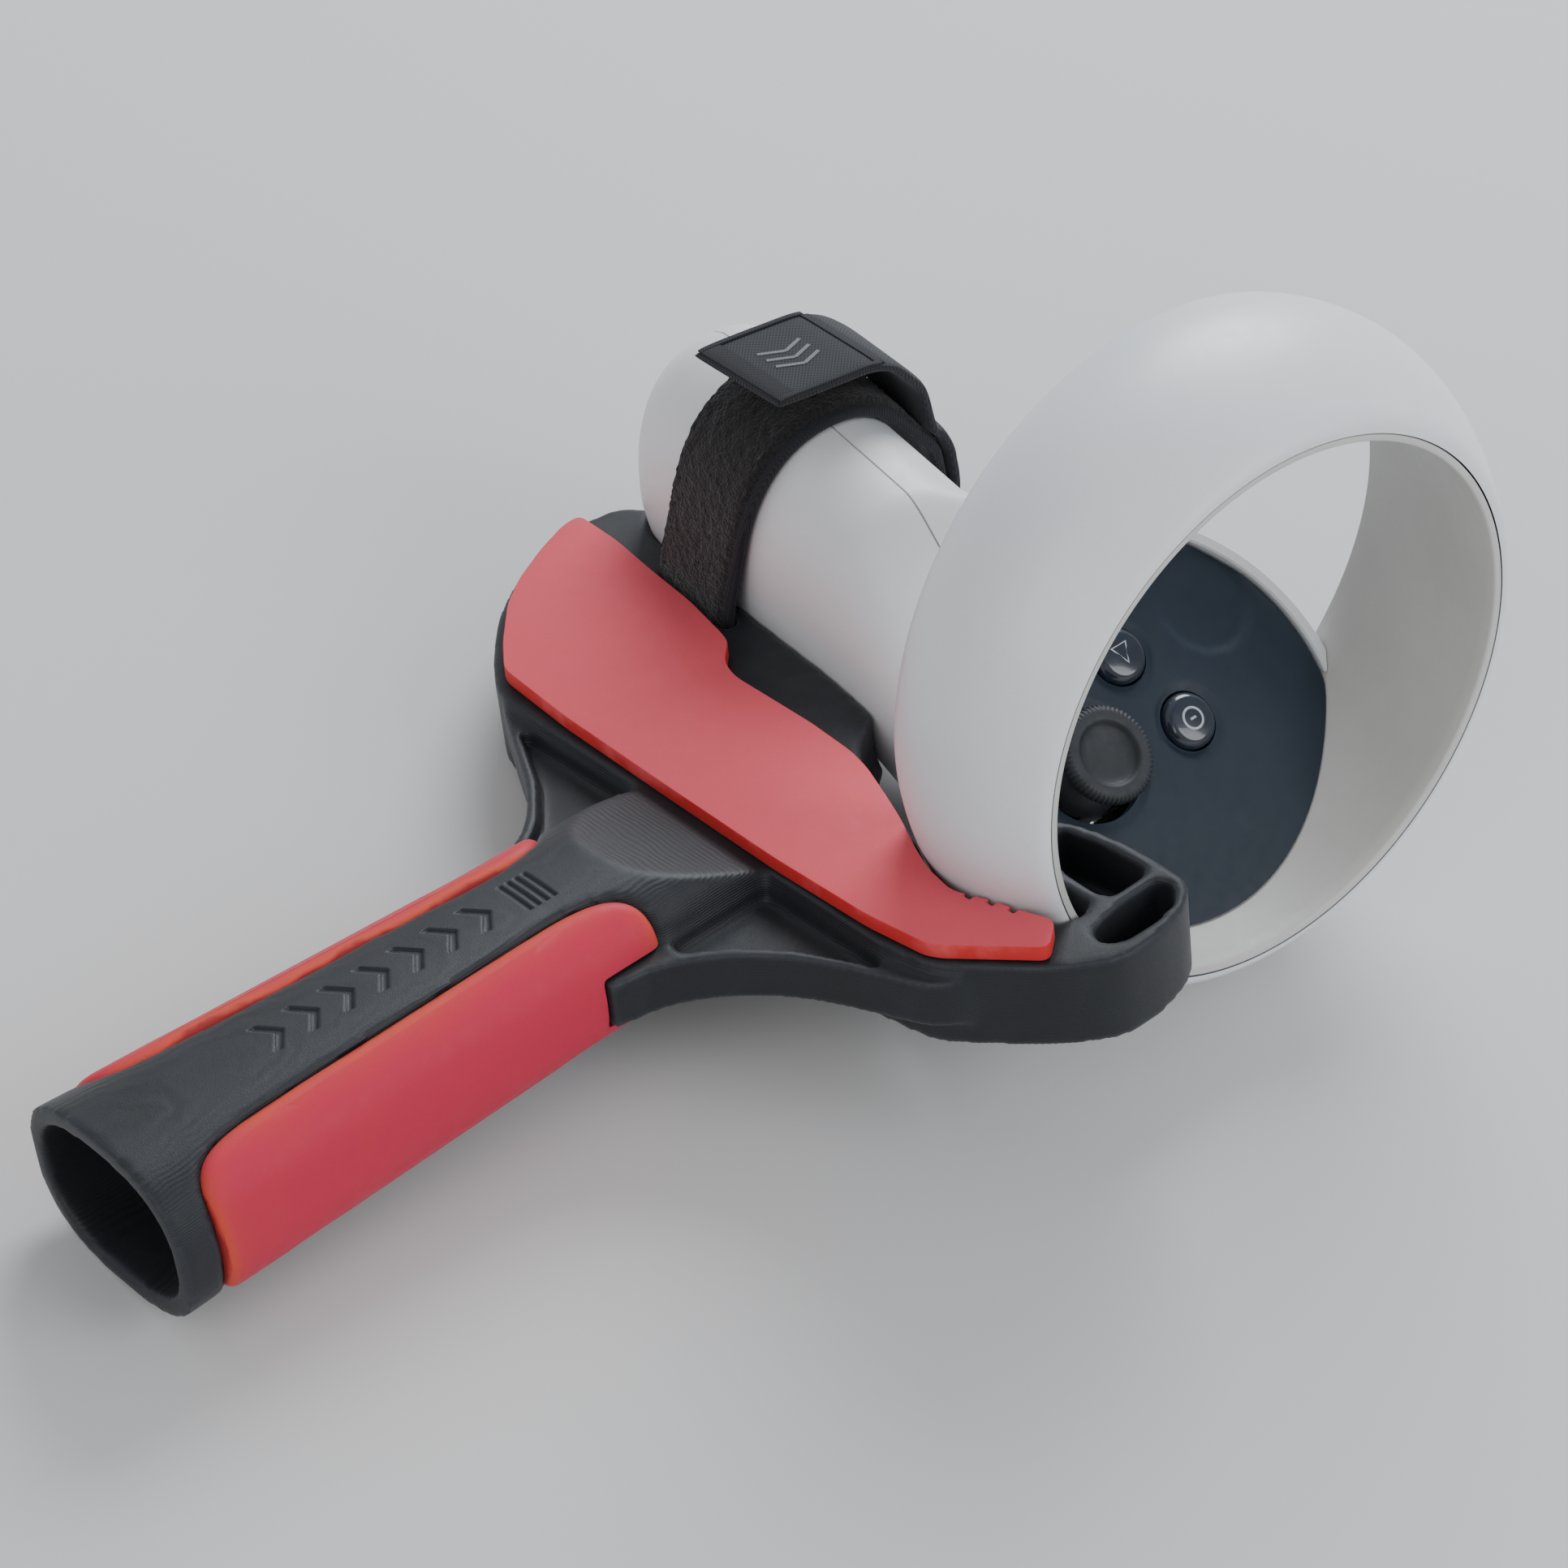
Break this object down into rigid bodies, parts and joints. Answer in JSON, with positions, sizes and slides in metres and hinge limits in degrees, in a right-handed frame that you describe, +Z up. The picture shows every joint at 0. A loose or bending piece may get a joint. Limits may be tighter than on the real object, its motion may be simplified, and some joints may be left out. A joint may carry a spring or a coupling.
{
  "type": "vr motion controller",
  "caption": "Handheld VR motion controller with tracking ring, thumbstick, buttons and trigger, strapped along the soft red blade of a black bat-handle adapter.",
  "frame": {"origin": "on the table, under the middle of the bounding box, with the part lying on the ring, the butt of the handle and the end of the cross bar", "axes": "+Y along the bat handle away from its butt, +X towards the open front of the tracking ring, +Z up from the table"},
  "size_m": [0.1322, 0.2062, 0.0994],
  "materials": {
    "adapter_nylon": "dyed printed nylon, fine layer lines",
    "blade_rubber": "satin pinkish red",
    "grip_rubber": "satin magenta red with an orange rim",
    "strap_fabric": "black hook and loop",
    "white_plastic": "fine matte",
    "grey_plastic": "matte light grey",
    "face_plastic": "matte dark slate",
    "button_plastic": "gloss dark",
    "stick_rubber": "matte black",
    "black_plastic": "moulded black",
    "board": "green solder mask",
    "flex": "amber film",
    "steel": "plain",
    "cell_sleeve": "printed sleeve"
  },
  "bodies": {
    "shell": {"adapter_frame": "adapter_nylon", "blade_pad": "blade_rubber", "handle_pad_right": "grip_rubber", "handle_pad_left": "grip_rubber", "strap_loop": "strap_fabric", "strap_hook_end": "strap_fabric", "ring_outer_cover": "white_plastic", "ring_inner_cover": "grey_plastic", "ring_led_flex": "flex", "controller_body": "white_plastic", "faceplate": "face_plastic", "thumbstick_module": "black_plastic", "button_membrane": "stick_rubber", "main_board": "board", "inner_chassis": "grey_plastic", "board_screw_1": "steel", "board_screw_2": "steel", "board_screw_3": "steel", "battery_cell": "cell_sleeve", "battery_tray": "black_plastic", "contact_plate": "steel", "contact_spring": "steel", "haptic_motor": "steel", "grip_button_spring": "steel", "trigger_pin": "steel"},
    "stick_gimbal": {"thumbstick_gimbal": "steel"},
    "stick_rocker": {"thumbstick_rocker": "stick_rubber"},
    "stick_cap": {"thumbstick_cap": "stick_rubber"},
    "button_a": {"button_a": "button_plastic"},
    "button_b": {"button_b": "button_plastic"},
    "home_button": {"home_button": "button_plastic"},
    "trigger": {"trigger": "white_plastic"},
    "grip_button": {"grip_button": "white_plastic"},
    "battery_door": {"battery_door": "white_plastic"}
  },
  "joints": [
    {"name": "button_a_press", "type": "slide", "parent": "shell", "child": "button_a", "axis": [-0.5526, 0.0297, -0.8329], "range_m": [0, 0.0009], "stiffness_N_per_m": 300, "springref_m": -0.0006},
    {"name": "button_b_press", "type": "slide", "parent": "shell", "child": "button_b", "axis": [-0.5526, 0.0297, -0.8329], "range_m": [0, 0.0009], "stiffness_N_per_m": 300, "springref_m": -0.0006},
    {"name": "home_press", "type": "slide", "parent": "shell", "child": "home_button", "axis": [-0.5526, 0.0297, -0.8329], "range_m": [0, 0.0009], "stiffness_N_per_m": 300, "springref_m": -0.0006},
    {"name": "stick_tilt_side", "type": "hinge", "parent": "shell", "child": "stick_gimbal", "pos_m": [0.02353, 0.04624, 0.02337], "axis": [-0.0268, 0.9982, 0.0534], "range_deg": [-13, 13], "stiffness_Nm_per_rad": 0.03},
    {"name": "stick_tilt_up", "type": "hinge", "parent": "stick_gimbal", "child": "stick_rocker", "pos_m": [0.02353, 0.04624, 0.02337], "axis": [-0.833, -0.0518, 0.5508], "range_deg": [-13, 13], "stiffness_Nm_per_rad": 0.03},
    {"name": "stick_press", "type": "slide", "parent": "stick_rocker", "child": "stick_cap", "axis": [-0.5526, 0.0297, -0.8329], "range_m": [0, 0.0003], "stiffness_N_per_m": 600, "springref_m": -0.0004},
    {"name": "trigger_pull", "type": "hinge", "parent": "shell", "child": "trigger", "pos_m": [0.01506, 0.05097, 0.00248], "axis": [0.0739, 0.9944, 0.0752], "range_deg": [0, 12], "stiffness_Nm_per_rad": 0.05, "springref_deg": -6.88},
    {"name": "grip_squeeze", "type": "slide", "parent": "shell", "child": "grip_button", "axis": [-0.0314, 0.0669, 0.9973], "range_m": [0, 0.0012], "stiffness_N_per_m": 400, "springref_m": -0.0006},
    {"name": "battery_door_slide", "type": "slide", "parent": "shell", "child": "battery_door", "axis": [-0.9964, 0.0768, -0.0365], "range_m": [0, 0.01]}
  ]
}
